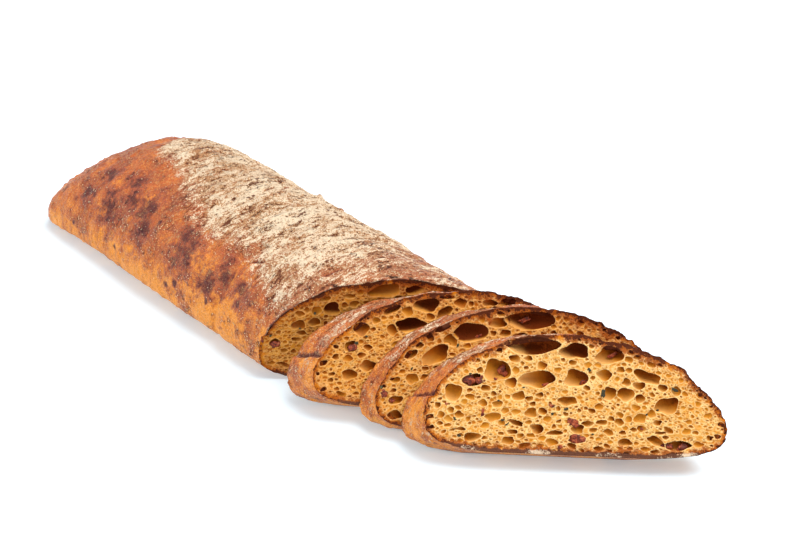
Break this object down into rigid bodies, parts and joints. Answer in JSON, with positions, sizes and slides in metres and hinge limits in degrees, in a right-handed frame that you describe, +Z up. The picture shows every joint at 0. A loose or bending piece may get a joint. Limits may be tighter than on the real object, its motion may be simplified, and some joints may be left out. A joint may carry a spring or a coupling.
{
  "type": "tomato ciabatta",
  "caption": "Long flat rustic loaf cut on the bias, with slices that lean back against its cut end, an open crumb with bits of dried tomato and a floured, blistered crust.",
  "frame": {"origin": "middle of the footprint of the loaf and its slices, at the height of the table", "axes": "+X along the loaf, from its baked end towards the slices; +Z up; +Y to the right, seen from the slices"},
  "size_m": [0.4394, 0.1332, 0.0582],
  "materials": {
    "crust": "baked crust, matt, partly floured",
    "crumb": "open crumb, matt with a faint gloss in the bubbles",
    "tomato": "dried tomato, moist",
    "herb": "dried herb, matt"
  },
  "bodies": {
    "root": {"loaf": "crust", "slice_1": "crumb", "slice_2": "crumb", "slice_3": "crumb"}
  },
  "joints": []
}
